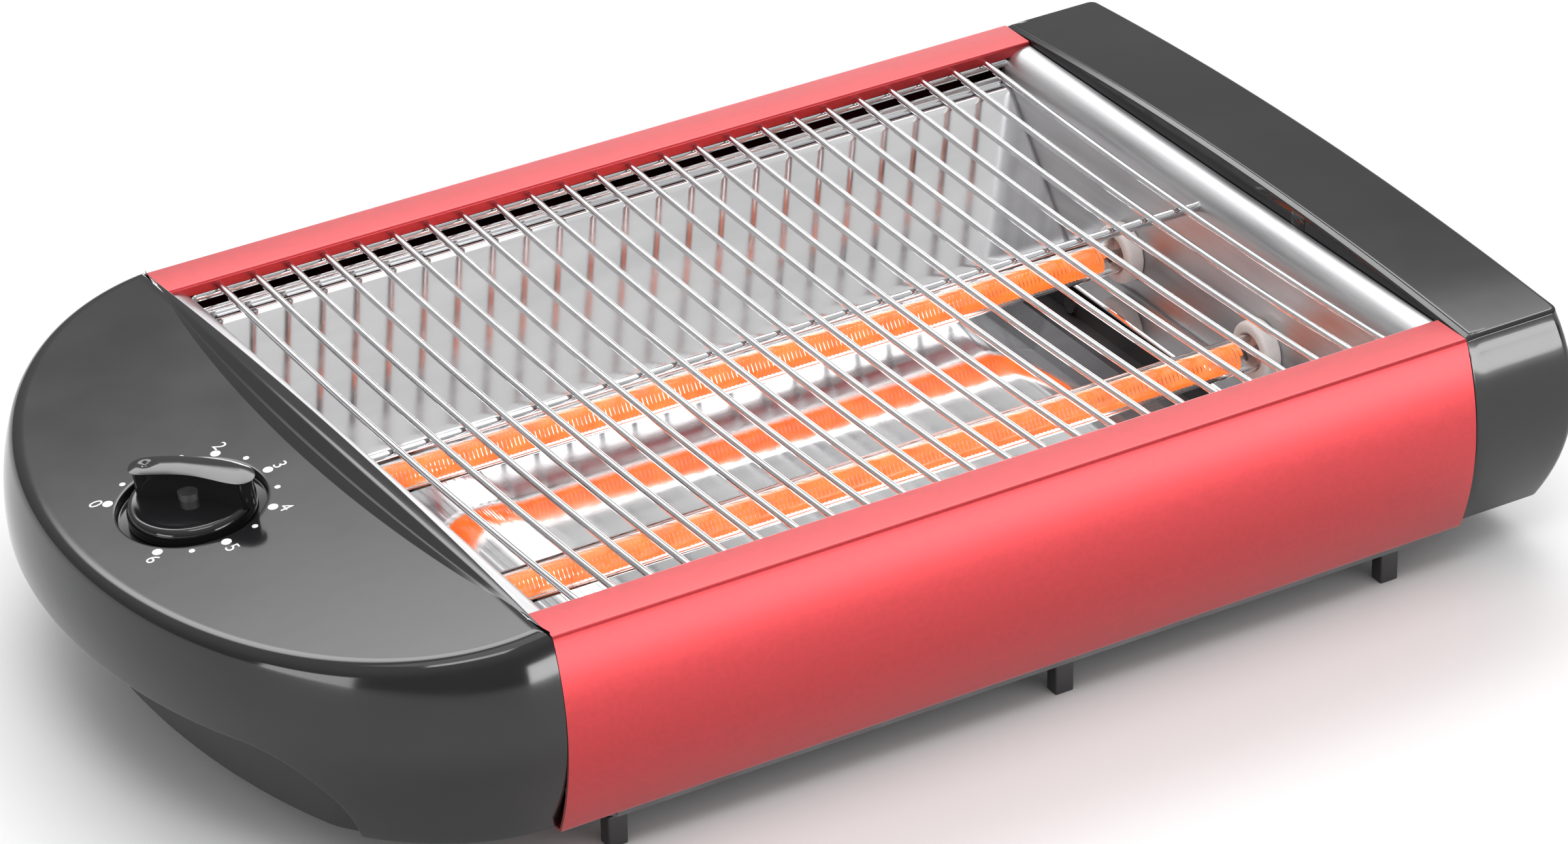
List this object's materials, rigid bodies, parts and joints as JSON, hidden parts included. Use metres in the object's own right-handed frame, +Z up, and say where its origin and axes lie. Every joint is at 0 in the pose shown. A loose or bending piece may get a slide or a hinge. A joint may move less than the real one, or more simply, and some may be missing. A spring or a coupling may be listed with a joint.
{
  "type": "flat bread toaster",
  "caption": "Flat open-grill bread toaster: two quartz heaters under a wire grill, bowed side panels, D-shaped timer end with a rotary knob, and a crumb tray that slides out.",
  "frame": {"origin": "centre of the whole object's footprint, on the surface that the feet stand on", "axes": "+X along the heaters towards the narrow end housing, -Y towards the front, +Z up"},
  "size_m": [0.3814, 0.2316, 0.0774],
  "materials": {
    "red_paint": "satin metallic paint with a fine orange peel",
    "black_gloss": "glossy moulded plastic",
    "black_matte": "fine matt moulded plastic",
    "black_rubber": "moulded rubber",
    "satin_steel": "satin aluminised sheet",
    "mirror_aluminium": "polished",
    "grey_steel": "dark grey coated sheet",
    "chrome_wire": "bright plated wire",
    "white_ceramic": "unglazed steatite",
    "clear_quartz": "clear fused quartz",
    "glowing_coil": "oxidised resistance wire, glowing orange",
    "plated_steel": "zinc plated",
    "lead_sleeve": "glass-fibre sleeve",
    "timer_case": "moulded phenolic",
    "ivory_plastic": "moulded"
  },
  "bodies": {
    "toaster": {"front_panel": "red_paint", "rear_panel": "red_paint", "left_housing": "black_gloss", "left_bottom_cover": "black_matte", "right_housing": "black_gloss", "right_bottom_cover": "black_matte", "left_end_plate": "satin_steel", "right_end_plate": "satin_steel", "reflector": "mirror_aluminium", "base_plate": "grey_steel", "feet": "black_matte", "foot_nuts": "plated_steel", "grill_rack": "chrome_wire", "centre_rod": "chrome_wire", "holder_front_left": "white_ceramic", "holder_front_right": "white_ceramic", "holder_rear_left": "white_ceramic", "holder_rear_right": "white_ceramic", "heater_tube_front": "clear_quartz", "heater_tube_rear": "clear_quartz", "heater_coil_front": "glowing_coil", "heater_coil_rear": "glowing_coil", "left_terminal_pins": "plated_steel", "right_terminal_pins": "plated_steel", "heater_jumper": "lead_sleeve", "front_lead": "lead_sleeve", "rear_lead": "lead_sleeve", "timer_lead": "lead_sleeve", "timer_body": "timer_case", "timer_bracket": "satin_steel", "timer_bell": "plated_steel", "timer_screws": "plated_steel", "terminal_block": "ivory_plastic", "cord_gland": "black_rubber", "left_standoffs": "plated_steel", "right_standoffs": "plated_steel", "left_housing_screws": "plated_steel", "right_housing_screws": "plated_steel", "left_cover_screws": "plated_steel", "right_cover_screws": "plated_steel"},
    "timer_dial": {"timer_knob": "black_gloss", "timer_shaft": "plated_steel"},
    "crumb_drawer": {"crumb_tray": "grey_steel", "tray_handle": "black_matte", "tray_screws": "plated_steel"}
  },
  "joints": [
    {"name": "timer_turn", "type": "hinge", "parent": "toaster", "child": "timer_dial", "pos_m": [-0.15427, 0.0004, 0.06563], "axis": [0.1219, 0, -0.9925], "range_deg": [0, 280]},
    {"name": "tray_slide", "type": "slide", "parent": "toaster", "child": "crumb_drawer", "axis": [1, 0, 0], "range_m": [0, 0.18]}
  ]
}
